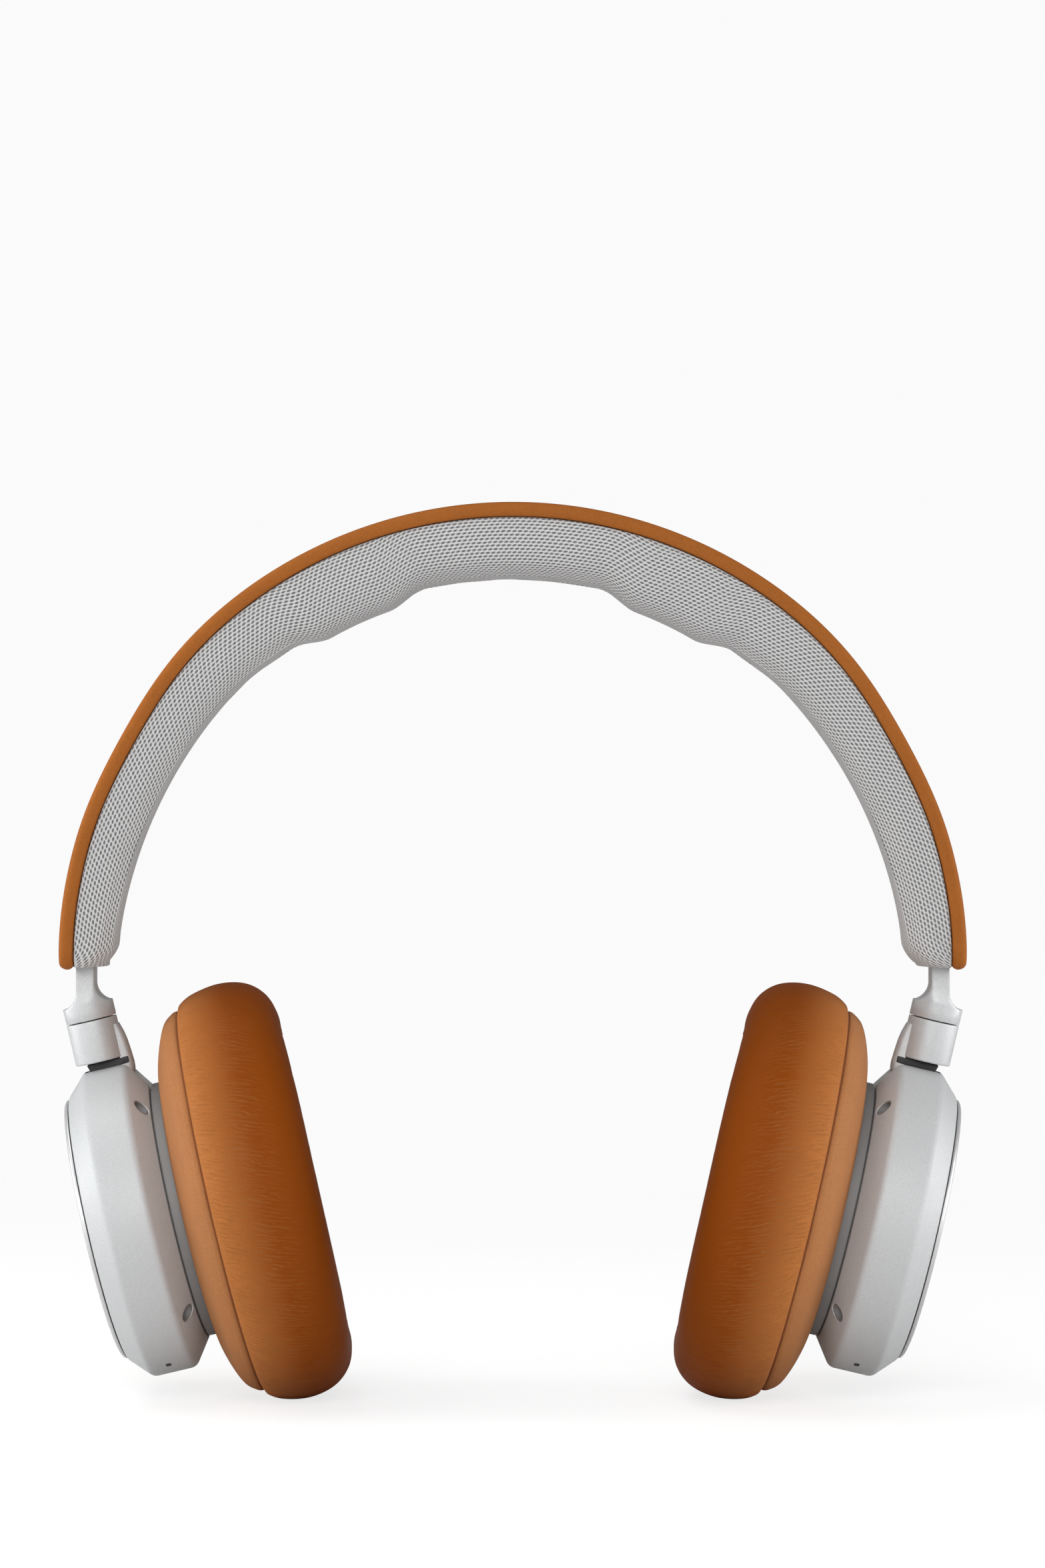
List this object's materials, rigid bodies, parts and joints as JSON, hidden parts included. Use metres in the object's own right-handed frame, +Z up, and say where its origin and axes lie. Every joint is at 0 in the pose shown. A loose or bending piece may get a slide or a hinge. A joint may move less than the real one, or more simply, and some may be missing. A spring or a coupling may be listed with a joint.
{
  "type": "over ear headphones",
  "caption": "Over ear headphones with a leather and open-knit headband, slim sliding aluminium arms, and shallow round cups with thick wedge-shaped leather ear cushions.",
  "frame": {"origin": "on the floor, midway between the two ear cushions that the headphones stand on", "axes": "+Z up through the top of the headband, +Y towards the back, +X from the cup named left to the cup named right"},
  "size_m": [0.195, 0.0914, 0.1931],
  "materials": {
    "leather": "smooth tan leather",
    "cushion_leather": "soft tan leather with fine wrinkles",
    "knit": "light grey open spacer knit",
    "aluminium": "fine satin aluminium",
    "housing": "pale bead-blasted aluminium",
    "collar": "mid grey plastic",
    "dark_plastic": "dark grey plastic",
    "steel": "bright steel",
    "rubber": "black rubber",
    "board": "green lacquered board",
    "cell": "wrapped cell",
    "film": "thin dark film",
    "mesh_cloth": "fine black acoustic cloth"
  },
  "bodies": {
    "headband": {"headband_cover": "leather", "headband_pad": "knit", "headband_spring": "steel", "headband_ribbon_lead": "rubber", "left_slider_guide": "dark_plastic", "right_slider_guide": "dark_plastic", "left_friction_pad": "rubber", "right_friction_pad": "rubber"},
    "left_arm": {"left_arm": "aluminium", "left_swivel_pin": "steel", "left_retaining_washer": "steel"},
    "left_swivel": {"left_swivel_sleeve": "aluminium", "left_hinge_bracket": "housing"},
    "left_cup": {"left_tilt_pin": "steel", "left_cup_housing": "housing", "left_touch_disc": "aluminium", "left_collar": "collar", "left_circuit_board": "board", "left_driver_magnet": "steel", "left_driver_basket": "dark_plastic", "left_diaphragm": "film", "left_baffle": "dark_plastic", "left_pad_frame": "dark_plastic", "left_cushion_skirt": "leather", "left_ear_cushion": "cushion_leather", "left_acoustic_mesh": "mesh_cloth", "left_microphone": "dark_plastic", "left_cup_screw_1": "steel", "left_cup_screw_2": "steel", "left_cup_screw_3": "steel", "left_cup_screw_4": "steel"},
    "right_arm": {"right_arm": "aluminium", "right_swivel_pin": "steel", "right_retaining_washer": "steel"},
    "right_swivel": {"right_swivel_sleeve": "aluminium", "right_hinge_bracket": "housing"},
    "right_cup": {"right_tilt_pin": "steel", "right_cup_housing": "housing", "right_touch_disc": "aluminium", "right_collar": "collar", "right_circuit_board": "board", "right_driver_magnet": "steel", "right_driver_basket": "dark_plastic", "right_diaphragm": "film", "right_baffle": "dark_plastic", "right_pad_frame": "dark_plastic", "right_cushion_skirt": "leather", "right_ear_cushion": "cushion_leather", "right_acoustic_mesh": "mesh_cloth", "right_microphone": "dark_plastic", "right_cup_screw_1": "steel", "right_cup_screw_2": "steel", "right_cup_screw_3": "steel", "right_cup_screw_4": "steel", "right_battery": "cell", "right_charging_socket": "steel", "right_audio_socket": "dark_plastic"},
    "power_switch": {"right_power_switch": "aluminium"},
    "push_button": {"left_push_button": "aluminium"}
  },
  "joints": [
    {"name": "left_arm_slide", "type": "slide", "parent": "headband", "child": "left_arm", "axis": [0, 0, -1], "range_m": [-0.002, 0.025]},
    {"name": "left_swivel", "type": "hinge", "parent": "left_arm", "child": "left_swivel", "pos_m": [-0.09035, 0, 0.07719], "axis": [-0.2284, 0, 0.9736], "range_deg": [-15, 90]},
    {"name": "left_tilt", "type": "hinge", "parent": "left_swivel", "child": "left_cup", "pos_m": [-0.08729, 0, 0.06702], "axis": [0, 1, 0], "range_deg": [-8, 8]},
    {"name": "right_arm_slide", "type": "slide", "parent": "headband", "child": "right_arm", "axis": [0, 0, -1], "range_m": [-0.002, 0.025]},
    {"name": "right_swivel", "type": "hinge", "parent": "right_arm", "child": "right_swivel", "pos_m": [0.09035, 0, 0.07719], "axis": [0.2284, 0, 0.9736], "range_deg": [-90, 15]},
    {"name": "right_tilt", "type": "hinge", "parent": "right_swivel", "child": "right_cup", "pos_m": [0.08729, 0, 0.06702], "axis": [0, 1, 0], "range_deg": [-8, 8]},
    {"name": "power_switch_slide", "type": "slide", "parent": "right_cup", "child": "power_switch", "axis": [0.2284, 0, 0.9736], "range_m": [0, 0.0046]},
    {"name": "push_button_press", "type": "slide", "parent": "left_cup", "child": "push_button", "axis": [0, -1, 0], "range_m": [0, 0.0006], "stiffness_N_per_m": 2000}
  ]
}
